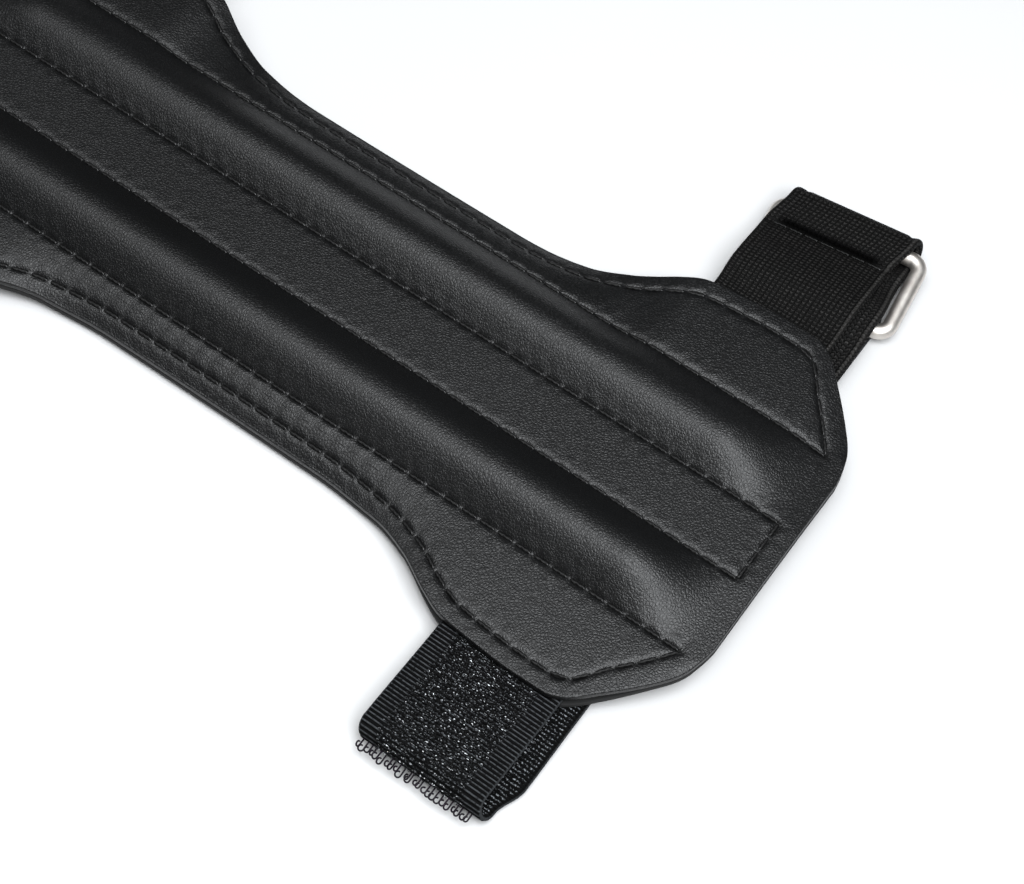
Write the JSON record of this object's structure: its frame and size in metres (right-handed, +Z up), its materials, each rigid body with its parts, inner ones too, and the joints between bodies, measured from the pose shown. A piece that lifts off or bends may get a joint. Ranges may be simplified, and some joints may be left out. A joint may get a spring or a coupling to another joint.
{
  "type": "archery arm guard",
  "caption": "Hourglass leather forearm guard with raised long ribs, held by tape straps that close through wire rings on elastic webbing.",
  "frame": {"origin": "on the floor under the middle of the whole object's box", "axes": "+X along the forearm towards the end that the picture shows, +Y towards the rings, +Z up out of the face"},
  "size_m": [0.2, 0.142, 0.0121],
  "materials": {
    "cover_leather": "black leather-look face, fine pebble grain, semi-matt",
    "backing_sheet": "plain black backing sheet, matt",
    "elastic_webbing": "black ribbed elastic webbing",
    "ring_steel": "bright plated steel wire",
    "hook_tape": "black woven hook-and-loop tape with ribbed margins"
  },
  "bodies": {
    "root": {"cover": "cover_leather", "backing": "backing_sheet", "webbing_loop_near": "elastic_webbing", "ring_near": "ring_steel", "tape_strap_near": "hook_tape", "webbing_loop_far": "elastic_webbing", "ring_far": "ring_steel", "tape_strap_far": "hook_tape"}
  },
  "joints": []
}
